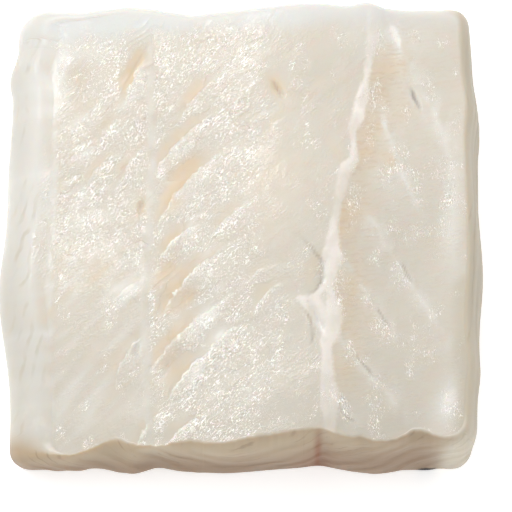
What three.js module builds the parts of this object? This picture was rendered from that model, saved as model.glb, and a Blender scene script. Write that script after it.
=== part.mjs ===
// A square portion of raw white fish fillet, skinned and lying on its flat skinned side.
// It is one soft block: two muscles that meet along a seam, with their flakes, membrane lines,
// small tears and layered cut faces in relief, and a scrap of dark skin left at the near edge.
// Millimetres, +Z up. X runs across the fillet, Y from the near cut face to the far one.
// The origin is at the centre of the flat base.
import * as THREE from "three";

// Driving sizes of the block, in millimetres
const WIDTH = 100;
const DEPTH = 95;
const LOW_SIDE_HEIGHT = 17; // the fillet thins towards its left side
const HIGH_SIDE_HEIGHT = 33;
const WIDEST_HEIGHT = 7; // the walls bulge out furthest here
const BASE_TUCK = 1.4; // the walls turn in under the bulge before they meet the floor
// Share of a side that each rounded upright corner takes away
const CORNER_PULL = { near: [0.016, 0.033], far: [0.021, 0.02] }; // left, right
const SHOULDER = { left: 9, right: 3.4, near: 1.9, far: 3 }; // how far the walls lean in
const LEAN_POWER = 8; // only the points close to a wall follow its shoulder outwards
const WAVE_ROOM = { left: 2.2, right: 2.2, near: 1, far: 1 }; // what the waves below may add to a side
const THICKENS = { from_x: -52, to_x: 22 }; // the fillet gains its height between these
const BROAD_CROWN = { x: 2, reach: 17, height: 0.5 }; // the broad muscle's own rise
const END_DROP = 0.6; // the top sinks this much towards the near and far edges

// Resolution of the faceted solid
const TOP_CELLS = 48;
const SHOULDER_ROWS = 10;
const TUCK_ROWS = 3;
const EDGE_CROWDING = 0.25; // the points lie closer together towards the edges

// Where the outline swells out or pulls in along each side
const OUTLINE_WAVES = {
  left: [
    { at: -9, reach: 14, out: 2.1 },
    { at: 13, reach: 13, out: 1 },
    { at: 36.5, reach: 3.4, out: 1.2 },
    { at: 42, reach: 5, out: -0.7 },
  ],
  right: [
    { at: -8, reach: 34, out: 1.6 },
    { at: 26.5, reach: 5, out: 0.9 },
    { at: -19, reach: 8, out: -0.6 },
    { at: -31, reach: 4, out: 0.4 },
    { at: -46, reach: 3, out: 0.4 },
  ],
  near: [
    { at: -45, reach: 4, out: 0.5 },
    { at: -37.2, reach: 4, out: 0.4 },
    { at: -29.4, reach: 3, out: -0.4 },
    { at: -22.5, reach: 3, out: 0.7 },
    { at: -17.6, reach: 3, out: -0.6 },
    { at: -3, reach: 9, out: 1 },
    { at: 16, reach: 3.5, out: -0.5 },
    { at: 27.4, reach: 6, out: 1.1 },
    { at: 46, reach: 3, out: 0.6 },
  ],
  far: [
    { at: -41.5, reach: 6.5, out: 2.2 },
    { at: -25.5, reach: 11, out: 2.9 },
    { at: -9.8, reach: 5, out: -0.7 },
    { at: 13.7, reach: 9, out: 1.3 },
    { at: 26, reach: 2.8, out: 1.4 },
    { at: 39.2, reach: 10, out: -0.5 },
  ],
};
// How the near top edge wanders: each place where it lies further in, or further out
const NEAR_EDGE_WAVES = [
  { at: -34, reach: 5, further_in: -1.2 },
  { at: -25, reach: 3.2, further_in: 1.8 },
  { at: -17.2, reach: 2.8, further_in: -1.5 },
  { at: -9.7, reach: 3, further_in: 0.5 },
  { at: 1.9, reach: 4.2, further_in: 0.8 },
  { at: 11.9, reach: 6.7, further_in: 1.4 },
  { at: 24.6, reach: 1.5, further_in: 0.9 },
  { at: 35.7, reach: 2.9, further_in: 1.6 },
  { at: 42, reach: 2.5, further_in: -0.4 },
];

// Seam between the two muscles, the line of membrane left of it, and the one at the left margin
const SEAM = {
  near_x: 17.8,
  far_x: 27.4,
  bend_y: -12,
  reach_y: 54,
  bend_power: 1.4,
  sway: 0.7,
  sway_length: 4.6,
  drop: 0.6, // the narrow muscle lies this much lower
  drop_x: [-1, 5.7], // over this stretch from the seam
  groove: 0.3,
  half_width: 1.9,
  face_groove: 0.8, // its groove down the cut faces
};
const SWAY_LENGTH = 11;
const MEMBRANE_LINES = [
  { x: -19, sway: 0.7, depth: 0.2, half_width: 0.9 },
  { x: -39.2, sway: 0.4, depth: 0.2, half_width: 0.9 },
];

// Flakes of the broad muscle overlap like roof tiles. Each has a crisp upper left edge: its middle,
// half length and turn, its rise, and how far behind the edge the flake falls away again.
const FLAKES = [
  { x: -13.4, y: 17.3, half: 6.7, turn: 0.8, rise: 1, back: 5 },
  { x: -12.2, y: 8.2, half: 7.1, turn: 0.82, rise: 1, back: 5 },
  { x: 2.4, y: 20.7, half: 3, turn: 0.92, rise: 0.4, back: 3 },
  { x: 5.9, y: 8.4, half: 5.3, turn: 1.08, rise: 0.35, back: 3 },
  { x: 6.5, y: 19.5, half: 3.4, turn: 0.96, rise: 0.4, back: 3 },
  { x: -29.3, y: 13.8, half: 4.7, turn: 0.75, rise: 0.6, back: 3.5 },
  { x: -23.6, y: 13.4, half: 5, turn: 0.99, rise: 0.6, back: 3 },
  { x: -13.4, y: -2.6, half: 4.2, turn: 0.68, rise: 0.9, back: 4.5 },
  { x: -10.9, y: -10.9, half: 7.2, turn: 0.8, rise: 0.8, back: 4.5 },
  { x: -12.7, y: -22.9, half: 8.9, turn: 0.77, rise: 1.2, back: 4.5 },
  { x: -4.2, y: -23.7, half: 3.2, turn: 0.72, rise: 0.7, back: 3 },
  { x: -11, y: -30.4, half: 5.6, turn: 0.84, rise: 1, back: 4.5 },
  { x: 3.4, y: -11, half: 3.9, turn: 0.52, rise: 0.3, back: 2.5 },
  { x: 4.7, y: -15.7, half: 3.6, turn: 0.8, rise: 0.4, back: 2.5 },
  { x: -23.2, y: -12.1, half: 3.5, turn: 0.51, rise: 0.4, back: 2.5 },
  { x: -23.4, y: -26, half: 5.1, turn: 1.01, rise: 0.5, back: 3 },
  { x: -19.1, y: -41.3, half: 4.4, turn: 0.94, rise: 0.6, back: 3.5 },
  { x: -12.4, y: -42.5, half: 4.3, turn: 0.7, rise: 0.6, back: 3.5 },
  { x: -21.6, y: 33.4, half: 5.6, turn: 1.05, rise: 1.1, back: 4 },
  { x: -31.5, y: 26, half: 4.5, turn: 0.8, rise: 0.5, back: 3 },
  { x: -27, y: 22, half: 4.5, turn: 0.8, rise: 0.5, back: 3 },
  { x: -9, y: 27.5, half: 5, turn: 0.75, rise: 0.5, back: 3.5 },
  { x: -3, y: 1, half: 5, turn: 0.7, rise: 0.4, back: 3.5 },
];
const FLAKE_FORM = {
  height: 0.5,
  edge: [-0.9, 0.6], // the edge rises between these distances behind its line
  bow: 0.8, // the ends of the edge curve back
  hollow: { depth: 0.3, before: 1.4, reach: 1.8 },
};
// The relief is weaker close to the near and far edges
const EDGE_CALM = { from: 47.5, to: 41, least: 0.3 };
// Sheets of tissue fan out from the seam through the narrow muscle, near ends first
const SHEETS = {
  leave_seam_y: [-34, -20, -8, 13, 28, 47],
  slope: 1.65,
  fan: 0.0117,
  depth: 0.25,
  half_width: 1,
};
// Layers on the cut walls: cups on the near and far walls, nearly level bands on the right one
const LAYERS = {
  height: 0.35,
  fall: 0.3,
  cup_x: -1,
  cup_round: 8,
  cup_slope: 1.3,
  cup_pitch: 8.5,
  band_pitch: 6,
  band_slope: 0.12,
  seam_shift: 1.2, // the seam meets the cut face a little to the left of its line in the top
  fade_z: [0.5, 5], // the layers fade out towards the floor
};

// Tears and dents in the top: centre, long and short reach, turn of the long side, and depth
const DENTS = [
  { x: -21.9, y: 34.2, long: 4.6, short: 1.4, turn: 1.06, depth: 0.9 },
  { x: -33.6, y: 34, long: 4.5, short: 2, turn: 1.35, depth: 0.6 },
  { x: 7.6, y: 27.4, long: 1.9, short: 1, turn: -1.03, depth: 0.8 },
  { x: -20.7, y: 4.5, long: 2, short: 1, turn: 1.3, depth: 0.7 },
  { x: -21.4, y: -25.4, long: 2.4, short: 1, turn: 1.35, depth: 0.5 },
  { x: -12, y: -15.3, long: 4, short: 2.2, turn: 0.6, depth: 0.6 },
  { x: -14, y: -28.4, long: 4.2, short: 2.2, turn: 0.9, depth: 0.6 },
  { x: -14.5, y: -7.5, long: 3.5, short: 1.8, turn: 0.8, depth: 0.5 },
  { x: -11, y: 12.6, long: 4.4, short: 2.2, turn: 0.7, depth: 0.6 },
  { x: 15.4, y: -20.5, long: 3, short: 1.2, turn: 1.9, depth: 0.8 },
  { x: 16.6, y: -12, long: 3, short: 1.2, turn: 1.5, depth: 0.6 },
  { x: 35.8, y: 25, long: 2.4, short: 0.9, turn: 1.95, depth: 0.6 },
];

// Soft unevenness of the whole block: two crossing swells
const SWELLS = [
  { along_x: 0.11, along_y: 0.07, along_z: 0.16, shift: 0.6, height: 0.35 },
  { along_x: -0.06, along_y: 0.16, along_z: -0.1, shift: 2.1, height: 0.3 },
];

// Scrap of dark skin that shows under the near edge
const SKIN_SCRAP = { x: 38.4, height: 1.1, fade: 1.5, reach: 1.7, out: 0.4 };

// A wall's points face straight out but for those close to an upright corner
const FACING_POWER = 9;

const FLESH = new THREE.MeshStandardMaterial({
  name: "flesh",
  color: 0xe3dac9,
  roughness: 0.32,
  metalness: 0,
});

const smoothstep = (from, to, v) => THREE.MathUtils.smoothstep(v, from, to);
const bell = (v, reach) => Math.exp(-((v / reach) ** 2));
const mix = THREE.MathUtils.lerp;

// How far a side stands out from the middle of the block, at a place along it.
function sideReach(side, along) {
  const half = (side === "left" || side === "right" ? WIDTH : DEPTH) / 2 - WAVE_ROOM[side];
  return OUTLINE_WAVES[side].reduce((sum, w) => sum + w.out * bell(along - w.at, w.reach), half);
}

// Point of the plan for a square parameter (a, b), each from -1 to 1, with every wall moved in by a
// share of its shoulder.
function planPoint(a, b, lean) {
  const near_pull = mix(...CORNER_PULL.near, (a + 1) / 2);
  const far_pull = mix(...CORNER_PULL.far, (a + 1) / 2);
  const pull = mix(near_pull, far_pull, (b + 1) / 2);
  const u = (1 + a * (1 - pull * Math.abs(b) ** (1 / pull))) / 2;
  const v = (1 + b * (1 - pull * Math.abs(a) ** (1 / pull))) / 2;
  const along_y = (v - 0.5) * DEPTH;
  const left = SHOULDER.left - sideReach("left", along_y);
  const right = sideReach("right", along_y) - SHOULDER.right;
  const x = mix(left, right, u) + leanOut(u, SHOULDER.left, SHOULDER.right, lean);
  const near_shoulder = NEAR_EDGE_WAVES.reduce(
    (sum, w) => sum + w.further_in * bell(x - w.at, w.reach),
    SHOULDER.near,
  );
  const near = near_shoulder - sideReach("near", x);
  const far = sideReach("far", x) - SHOULDER.far;
  const y = mix(near, far, v) + leanOut(v, near_shoulder, SHOULDER.far, lean);
  return new THREE.Vector2(x, y);
}

// How far a point moves out with the walls, from 0 at the top's edge to the whole shoulder.
function leanOut(share, low_shoulder, high_shoulder, lean) {
  return (1 - lean) * (high_shoulder * share ** LEAN_POWER - low_shoulder * (1 - share) ** LEAN_POWER);
}

// The seam's place across the fillet, which leans right towards the far side.
function seamX(y) {
  const t = THREE.MathUtils.clamp((y - SEAM.bend_y) / SEAM.reach_y, 0, 1);
  return mix(SEAM.near_x, SEAM.far_x, t ** SEAM.bend_power) + SEAM.sway * Math.sin(y / SEAM.sway_length);
}

// Height of the broad form of the top, before its relief.
function crownHeight(x, y) {
  const slope = mix(LOW_SIDE_HEIGHT, HIGH_SIDE_HEIGHT, smoothstep(THICKENS.from_x, THICKENS.to_x, x));
  const broad_muscle = BROAD_CROWN.height * bell(x - BROAD_CROWN.x, BROAD_CROWN.reach);
  return slope + broad_muscle - END_DROP * (y / (DEPTH / 2)) ** 4;
}

// One roof tile: a slow rise over most of the phase, then a short fall.
function tile(phase, fall) {
  const f = phase - Math.floor(phase);
  return f < 1 - fall ? smoothstep(0, 1 - fall, f) : 1 - smoothstep(1 - fall, 1, f);
}

function dentDepth(x, y) {
  return DENTS.reduce((sum, d) => {
    const dx = x - d.x;
    const dy = y - d.y;
    const along = dx * Math.cos(d.turn) + dy * Math.sin(d.turn);
    const across = -dx * Math.sin(d.turn) + dy * Math.cos(d.turn);
    return sum + d.depth * bell(along, d.long) * bell(across, d.short);
  }, 0);
}

// Height of one flake: the hollow before its edge, the rise, and the slow fall behind.
function flakeHeight(flake, x, y) {
  const { edge, bow, hollow } = FLAKE_FORM;
  const dx = x - flake.x;
  const dy = y - flake.y;
  const along = dx * Math.cos(flake.turn) + dy * Math.sin(flake.turn);
  const curve = bow * (along / flake.half) ** 2;
  const behind = dx * Math.sin(flake.turn) - dy * Math.cos(flake.turn) - curve;
  const lip = smoothstep(...edge, behind) * Math.exp(-Math.max(behind, 0) / flake.back);
  const before = hollow.depth * bell(behind + hollow.before, hollow.reach);
  return FLAKE_FORM.height * flake.rise * (lip - before) * bell(along, flake.half);
}

// Grooves where the sheets of tissue come up through the narrow muscle.
function sheetDepth(x, y) {
  const from_seam = x - seamX(y);
  const start_y = (y + SHEETS.slope * from_seam) / (1 - SHEETS.fan * from_seam);
  const nearest = Math.min(...SHEETS.leave_seam_y.map((s) => Math.abs(start_y - s)));
  const across = nearest * Math.cos(Math.atan(SHEETS.slope));
  return SHEETS.depth * smoothstep(1, 4, from_seam) * bell(across, SHEETS.half_width);
}

function topRelief(x, y) {
  const from_seam = x - seamX(y);
  const seam_drop = SEAM.drop * smoothstep(...SEAM.drop_x, from_seam);
  const seam_groove = SEAM.groove * bell(from_seam, SEAM.half_width);
  const lines = MEMBRANE_LINES.reduce(
    (sum, m) => sum + m.depth * bell(x - m.x - m.sway * Math.sin(y / SWAY_LENGTH), m.half_width),
    0,
  );
  const grooves = seam_drop + seam_groove + lines + sheetDepth(x, y);
  const calm = mix(EDGE_CALM.least, 1, smoothstep(-EDGE_CALM.from, -EDGE_CALM.to, -Math.abs(y)));
  const broad_muscle = 1 - smoothstep(-1, 1, from_seam);
  const flakes = broad_muscle * FLAKES.reduce((sum, flake) => sum + flakeHeight(flake, x, y), 0);
  return calm * (flakes - dentDepth(x, y)) - grooves;
}

// Layers of the cut walls, along the way that the wall faces. The near and far walls show cups and the
// seam, and the right wall bands. The left wall is the thin side's own smooth surface.
function wallRelief(x, y, z, outward) {
  const cup = LAYERS.cup_slope * Math.hypot(x - LAYERS.cup_x, LAYERS.cup_round);
  const cups = tile((z - cup) / LAYERS.cup_pitch, LAYERS.fall);
  const bands = tile((z + LAYERS.band_slope * y) / LAYERS.band_pitch, LAYERS.fall);
  const seam_groove = SEAM.face_groove * bell(x - seamX(y) + LAYERS.seam_shift, SEAM.half_width);
  const ends = outward.y ** 2 * (LAYERS.height * cups - seam_groove);
  return ends + Math.max(outward.x, 0) ** 2 * LAYERS.height * bands;
}

function swellHeight(x, y, z) {
  const swell = (s) => s.height * Math.sin(s.along_x * x + s.along_y * y + s.along_z * z + s.shift);
  return SWELLS.reduce((sum, s) => sum + swell(s), 0);
}

function scrapReach(x, y, z) {
  const low = 1 - smoothstep(SKIN_SCRAP.height, SKIN_SCRAP.height + SKIN_SCRAP.fade, z);
  return y < 0 ? SKIN_SCRAP.out * low * bell(x - SKIN_SCRAP.x, SKIN_SCRAP.reach) : 0;
}

// Height of the finished top over a point of the plan.
function topHeight(x, y) {
  return crownHeight(x, y) + topRelief(x, y) + swellHeight(x, y, 0);
}

// Point of a wall. The lean goes from 1 at the top's edge to 0 at the bulge, the lift from 1 to 0
// likewise, and below the bulge the tuck pulls the wall in.
function wallPoint([i, j], lean, lift, tuck, z_share) {
  const a = crowded(i);
  const b = crowded(j);
  const edge = planPoint(a, b, 1);
  const plan = planPoint(a, b, lean).multiplyScalar(1 - (2 * tuck) / WIDTH);
  const z = z_share * mix(WIDEST_HEIGHT, topHeight(edge.x, edge.y), lift);
  const outward = new THREE.Vector2(a ** FACING_POWER, b ** FACING_POWER).normalize();
  const strength = (1 - lean) * smoothstep(...LAYERS.fade_z, z);
  const layers = wallRelief(plan.x, plan.y, z, outward) + swellHeight(plan.x, plan.y, z);
  plan.addScaledVector(outward, strength * layers + scrapReach(plan.x, plan.y, z));
  return new THREE.Vector3(plan.x, plan.y, z);
}

// Square parameter from -1 to 1 of a step along a side, closer together towards the edges.
function crowded(step) {
  const t = (2 * step) / TOP_CELLS - 1;
  return t * (1 + EDGE_CROWDING * (1 - t * t));
}

// Grid of the top, row by row from the near side.
function topPoints() {
  const points = [];
  for (let j = 0; j <= TOP_CELLS; j++)
    for (let i = 0; i <= TOP_CELLS; i++) {
      const plan = planPoint(crowded(i), crowded(j), 1);
      points.push(new THREE.Vector3(plan.x, plan.y, topHeight(plan.x, plan.y)));
    }
  return points;
}

// Grid steps of the points round the block, counter-clockwise from the near left corner.
function ringSteps() {
  const ring = [];
  const last = TOP_CELLS;
  for (const [i, j, step_i, step_j] of [[0, 0, 1, 0], [last, 0, 0, 1], [last, last, -1, 0], [0, last, 0, -1]])
    for (let k = 0; k < TOP_CELLS; k++) ring.push([i + step_i * k, j + step_j * k]);
  return ring;
}

// Rings of points down the walls: over the shoulder to the bulge, then under it to the floor.
function wallRings(ring) {
  const rows = [];
  for (let k = 1; k <= SHOULDER_ROWS; k++) {
    const angle = ((Math.PI / 2) * k) / SHOULDER_ROWS;
    const lean = 1 - Math.sin(angle) ** 0.85;
    const lift = k < SHOULDER_ROWS ? Math.cos(angle) ** 0.75 : 0;
    rows.push(ring.map((at) => wallPoint(at, lean, lift, 0, 1)));
  }
  for (let k = 1; k <= TUCK_ROWS; k++) {
    const angle = ((Math.PI / 2) * k) / TUCK_ROWS;
    rows.push(ring.map((at) => wallPoint(at, 0, 0, BASE_TUCK * (1 - Math.cos(angle)), 1 - Math.sin(angle))));
  }
  return rows;
}

// The whole block as one closed surface, with the middle of its base's bounds at the origin.
function filletGeometry() {
  const ring = ringSteps();
  const points = topPoints();
  const faces = [];
  for (let j = 0; j < TOP_CELLS; j++)
    for (let i = 0; i < TOP_CELLS; i++) {
      const first = j * (TOP_CELLS + 1) + i;
      const above = first + TOP_CELLS + 1;
      faces.push(first, first + 1, above + 1, first, above + 1, above);
    }
  let upper = ring.map(([i, j]) => j * (TOP_CELLS + 1) + i);
  for (const row of wallRings(ring)) {
    const lower = row.map((p) => points.push(p) - 1);
    for (let i = 0; i < lower.length; i++) {
      const next = (i + 1) % lower.length;
      faces.push(upper[i], lower[i], lower[next], upper[i], lower[next], upper[next]);
    }
    upper = lower;
  }
  const middle = points.push(new THREE.Vector3(0, 0, 0)) - 1;
  upper.forEach((index, i) => faces.push(index, middle, upper[(i + 1) % upper.length]));
  const geometry = new THREE.BufferGeometry().setFromPoints(points);
  geometry.setIndex(faces);
  geometry.computeBoundingBox();
  const centre = geometry.boundingBox.getCenter(new THREE.Vector3());
  geometry.translate(-centre.x, -centre.y, 0);
  geometry.computeVertexNormals();
  return geometry;
}

const fillet = new THREE.Mesh(filletGeometry(), FLESH);
fillet.name = "fillet";

const portion = new THREE.Group();
portion.add(fillet);

export default portion;
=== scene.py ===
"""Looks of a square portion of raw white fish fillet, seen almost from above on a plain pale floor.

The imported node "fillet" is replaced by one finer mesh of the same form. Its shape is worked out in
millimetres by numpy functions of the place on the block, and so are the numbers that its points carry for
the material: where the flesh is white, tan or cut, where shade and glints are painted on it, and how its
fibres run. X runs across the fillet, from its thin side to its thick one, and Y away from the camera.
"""
import math
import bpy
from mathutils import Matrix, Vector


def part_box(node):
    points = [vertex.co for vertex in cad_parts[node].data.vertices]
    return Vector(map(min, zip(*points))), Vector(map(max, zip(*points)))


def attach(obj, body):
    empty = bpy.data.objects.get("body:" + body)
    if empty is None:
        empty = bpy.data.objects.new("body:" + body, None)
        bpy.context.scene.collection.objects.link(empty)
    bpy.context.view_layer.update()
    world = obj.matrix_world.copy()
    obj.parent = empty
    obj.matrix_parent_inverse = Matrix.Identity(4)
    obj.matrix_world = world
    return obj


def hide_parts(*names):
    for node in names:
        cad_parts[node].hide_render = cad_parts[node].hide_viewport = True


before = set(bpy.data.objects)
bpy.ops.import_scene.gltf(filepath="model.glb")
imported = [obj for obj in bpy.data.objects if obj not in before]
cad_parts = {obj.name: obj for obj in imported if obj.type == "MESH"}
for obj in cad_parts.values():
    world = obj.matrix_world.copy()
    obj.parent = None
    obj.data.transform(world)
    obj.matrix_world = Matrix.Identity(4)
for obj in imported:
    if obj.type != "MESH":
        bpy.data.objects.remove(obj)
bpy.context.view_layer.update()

from types import SimpleNamespace

import bpy
import numpy as np
from mathutils import Vector

MM = 0.001  # in metres

# Driving sizes of the block, in millimetres
WIDTH = 100.0
DEPTH = 95.0
LOW_SIDE_HEIGHT = 17.0
HIGH_SIDE_HEIGHT = 33.0
WIDEST_HEIGHT = 7.0
BASE_TUCK = 1.4
CORNER_PULL = {"near_left": 0.016, "near_right": 0.033, "far_left": 0.021, "far_right": 0.02}
EDGE_CROWDING = 0.25
SHOULDER = {"left": 9.0, "right": 3.4, "near": 1.9, "far": 3.0}
LEAN_POWER = 8  # only the points close to a wall follow its shoulder outwards
WAVE_ROOM = {"left": 2.2, "right": 2.2, "near": 1.0, "far": 1.0}
THICKENS = (-52, 22)
CROWN_X = 2.0
CROWN_REACH = 17.0
CROWN_HEIGHT = 0.5
END_DROP = 0.6

# Curve of the shoulders, the usual sizes that space its rows, and how suddenly the walls turn at a corner
LEAN_CURVE = 0.85
LIFT_CURVE = 0.75
USUAL_LEAN = 4.0
USUAL_LIFT = 25.0
CORNER_POWER = 9

# Cells of the fine mesh
CELLS_X = 224
CELLS_Y = 212
WALL_ROWS = 52
TUCK_ROWS = 5

# Where the outline swells out or pulls in along each side: place, reach and how far out
OUTLINE_WAVES = {
    "left": [(-9, 14, 2.1), (13, 13, 1), (36.5, 3.4, 1.2), (42, 5, -0.7)],
    "right": [(-8, 34, 1.6), (26.5, 5, 0.9), (-19, 8, -0.6), (-31, 4, 0.4), (-46, 3, 0.4)],
    "near": [
        (-45, 4, 0.5), (-37.2, 4, 0.4), (-29.4, 3, -0.4), (-22.5, 3, 0.7), (-17.6, 3, -0.6),
        (-3, 9, 1), (16, 3.5, -0.5), (27.4, 6, 1.1), (46, 3, 0.6),
    ],
    "far": [
        (-41.5, 6.5, 2.2), (-25.5, 11, 2.9), (-9.8, 5, -0.7),
        (13.7, 9, 1.3), (26, 2.8, 1.4), (39.2, 10, -0.5),
    ],
}
# How the near top edge wanders: place along X, reach, and how much further in it lies
NEAR_EDGE_WAVES = [
    (-34, 5, -1.2), (-25, 3.2, 1.8), (-17.2, 2.8, -1.5), (-9.7, 3, 0.5),
    (1.9, 4.2, 0.8), (11.9, 6.7, 1.4), (24.6, 1.5, 0.9), (35.7, 2.9, 1.6), (42, 2.5, -0.4),
]
# How ragged that edge is: size of the rags along X, how far in they reach, and the seed of their noise
NEAR_EDGE_RAGS = [(1.6, 0.22, 81), (0.6, 0.1, 82)]

# White tissue that parts the two muscles, from the far edge to the near one
SEAM_PATH = [
    (27.3, 47), (27.3, 40), (26.1, 32.5), (25.1, 27), (24, 21.9), (22.6, 18.5), (23.2, 12.1), (21.1, 9.9),
    (19.9, 4.2), (19, -1.6), (18.4, -7.2), (18, -14.4), (18.4, -17.2), (19, -21.5), (17.4, -26.4),
    (17.4, -31.5), (17.8, -36.4), (18, -42.2), (17.8, -50),
]
# How milky the tissue is at places along the seam, from the near edge to the far one
SEAM_VEIL = [
    (-47, 0.5), (-42, 0.7), (-34, 1), (-22, 0.95), (-10, 0.9), (-4, 1.1), (0, 0.6), (4, 0.4), (9, 0.55),
    (14, 0.9), (19, 0.7), (24, 1.1), (29, 0.9), (34, 0.5), (40, 0.35), (46, 0.3),
]
# White film that branches off the seam, and the middle of the web in its fork
FILM_PATHS = [
    [(11.8, -16.6), (14.7, -16.8), (17.2, -14), (18.2, -9.5)],
    [(12.4, -17), (14.6, -20), (17, -24), (17.6, -30)],
]
FILM_HALF_WIDTH = 0.6
WEB_MIDDLE = (15.3, -19)
# Folds where the flesh dips beside the film and the sheets, with painted shade in them
FOLD_PATHS = [
    [(10.1, -2.2), (14.7, -6.5), (16.5, -9.1), (16.5, -12.5), (15.2, -15.2), (12.2, -15.9)],
    [(12.6, -18.2), (14, -21), (14.8, -24.7), (13.8, -26.8)],
    [(34.6, 27.8), (35.6, 25.2), (37.2, 22.6)],
    [(32, -8.6), (33.4, -11), (35, -14.2)],
    [(27.2, -18.2), (28.8, -20.6), (30.6, -23.6)],
    [(22.8, -27.8), (25, -30.6), (27.2, -33.6)],
    [(19.6, -39), (21.2, -40.8), (23.4, -42.6)],
]
FOLD_HALF_WIDTH = 0.25
FOLD_DEPTH = 0.08
SEAM_DROP = 0.6
SEAM_GROOVE = 0.05
SEAM_HALF_WIDTH = 1.9
SEAM_KNOT_Y = -8.5
TISSUE_HEIGHT = 0.1

# Sheets of tissue that fan out from the seam through the narrow muscle
SHEET_PATHS = [
    [(29.8, 44.3), (33, 35), (36.1, 28.7), (38.8, 23.8), (41.3, 19.1), (42.5, 12.7), (43.3, 5.4)],
    [(27.8, 25), (29.8, 19.1), (31.5, 14.8), (33, 10.6), (35, 5.2), (37.1, -0.1)],
    [
        (25.7, 1), (27.8, -1.8), (29.8, -6.5), (32.5, -9.7),
        (35, -14), (38.2, -19.3), (41.3, -23.6), (43.3, -31.1),
    ],
    [(20.8, -8.7), (24.6, -14), (27.8, -19.3), (30.5, -23.6), (32.5, -27)],
    [(19.2, -24), (22, -27.9), (25.7, -32.1), (28.8, -35.3), (32.4, -39.7), (34, -43.9)],
    [(18.6, -37), (21.5, -41.1), (25.7, -43.9)],
]
SHEET_HALF_WIDTH = 1.8
SHEET_HEIGHT = 0.05
STRAND_HALF_WIDTH = 0.5
STRAND_HEIGHT = 0.08

# Membranes that run from the far edge to the near one: place, sway, groove depth and half width
MEMBRANE_LINES = [(-19, 0.7, 0.06, 0.9), (-39.2, 0.4, 0.05, 0.9)]

# Turn of the fibres from X in the broad muscle and in the narrow one, and the little scales along them
FIBRE_TURN = 0.76
NARROW_FIBRE_TURN = 0.12
SCALE_PITCH = 3.4
SCALE_HEIGHT = 0.12

# Broad lumps of the whole top
LUMP_SIZE = 11
LUMP_HEIGHT = 0.12

# Flakes: middle of the crisp upper left edge, its half length and turn, its rise and the fall behind it
FLAKES = [
    (-13.4, 17.3, 6.7, 0.8, 1, 5),
    (-12.2, 8.2, 7.1, 0.82, 1, 5),
    (2.4, 20.7, 3, 0.92, 0.25, 3),
    (5.9, 8.4, 5.3, 1.08, 0.05, 3),
    (6.5, 19.5, 3.4, 0.96, 0.2, 3),
    (-29.3, 13.8, 4.7, 0.75, 0.35, 3.5),
    (-23.6, 13.4, 5, 0.99, 0.35, 3),
    (-13.4, -2.6, 4.2, 0.68, 0.9, 4.5),
    (-10.9, -10.9, 7.2, 0.8, 0.8, 4.5),
    (-12.7, -22.9, 8.9, 0.77, 1.2, 4.5),
    (-4.2, -23.7, 3.2, 0.72, 0.7, 3),
    (-11, -30.4, 5.6, 0.84, 1, 4.5),
    (3.4, -11, 3.9, 0.52, 0.3, 2.5),
    (4.7, -15.7, 3.6, 0.8, 0.4, 2.5),
    (-23.2, -12.1, 3.5, 0.51, 0.4, 2.5),
    (-23.4, -26, 5.1, 1.01, 0.5, 3),
    (-19.1, -41.3, 4.4, 0.94, 0.6, 3.5),
    (-12.4, -42.5, 4.3, 0.7, 0.6, 3.5),
    (-21.6, 33.4, 5.6, 1.05, 1.1, 4),
    (-31.5, 26, 4.5, 0.8, 0.2, 3),
    (-27, 22, 4.5, 0.8, 0.25, 3),
    (-9, 27.5, 5, 0.75, 0.5, 3.5),
    (-3, 1, 5, 0.7, 0.4, 3.5),
]
FLAKE_SHARE = 0.38  # how much of its rise a flake shows
FLAKE_BOW = 0.8
FLAKE_TROUGH = 0.15
FLAKE_RANGE = 9.0  # a place further than this from every edge belongs to no flake
EDGE_RANGE = (-4, 5)

# Tears and dents: centre, long and short reach, turn of the long side, depth, crispness of the right side
DENTS = [
    (-22.3, 34.2, 4.8, 1.9, 1.06, 0.75, 1),
    (-33.6, 34, 4.5, 2, 1.35, 0.6, 0),
    (7.6, 27.4, 1.7, 0.5, -1.03, 0.8, 1),
    (-20.7, 4.5, 1.5, 0.5, 1.3, 0.7, 0.5),
    (-21.4, -25.4, 2.4, 0.6, 1.35, 0.5, 0.5),
    (-12, -15.3, 4, 2.2, 0.6, 0.6, 0),
    (-14, -28.4, 4.2, 2.2, 0.9, 0.6, 0),
    (-14.5, -7.5, 3.5, 1.8, 0.8, 0.5, 0),
    (-11, 12.6, 4.4, 2.2, 0.7, 0.6, 0),
    (15.4, -20.5, 3, 1, 1.9, 0.5, 0.3),
    (16.6, -12, 3, 1.2, 1.5, 0.4, 0),
    (35.8, 25, 2.2, 0.4, 1.95, 0.5, 0),
]

# Places where the wet surface is warmer: centre, reach along and across, turn, and how much
WARM_PATCHES = [
    (7, 28.6, 3.2, 1.6, -1.03, 0.7),
    (-22, 34.5, 5.5, 2.4, 1.06, 0.35),
    (-20.6, 4.5, 2.4, 1.2, 1.3, 0.7),
    (-9.5, 25.5, 5, 2, 0.55, 0.3),
    (-11.5, 12.6, 5, 2.2, 0.7, 0.7),
    (-14, 4.5, 3.5, 1.6, 0.9, 0.6),
    (-15.6, -9.4, 4.2, 2, 1, 0.9),
    (-12.2, -15.4, 4, 2.2, 0.5, 1.2),
    (-14.6, -28, 4.5, 2.6, 0.9, 0.8),
    (-33.8, 33, 6.5, 2, 1.45, 0.45),
    (-31, -9, 9, 4, 0.8, 0.35),
    (14.5, -10.5, 3.5, 1.4, 1.3, 0.4),
    (6, 7, 15, 6, 1.4, 0.3),
    (-37.8, 13, 12, 1.4, 1.57, 0.25),
    (16, 30, 12, 5, 1.4, 0.2),
    (19.4, 14, 3.6, 1.3, 2, 0.35),
]
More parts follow.
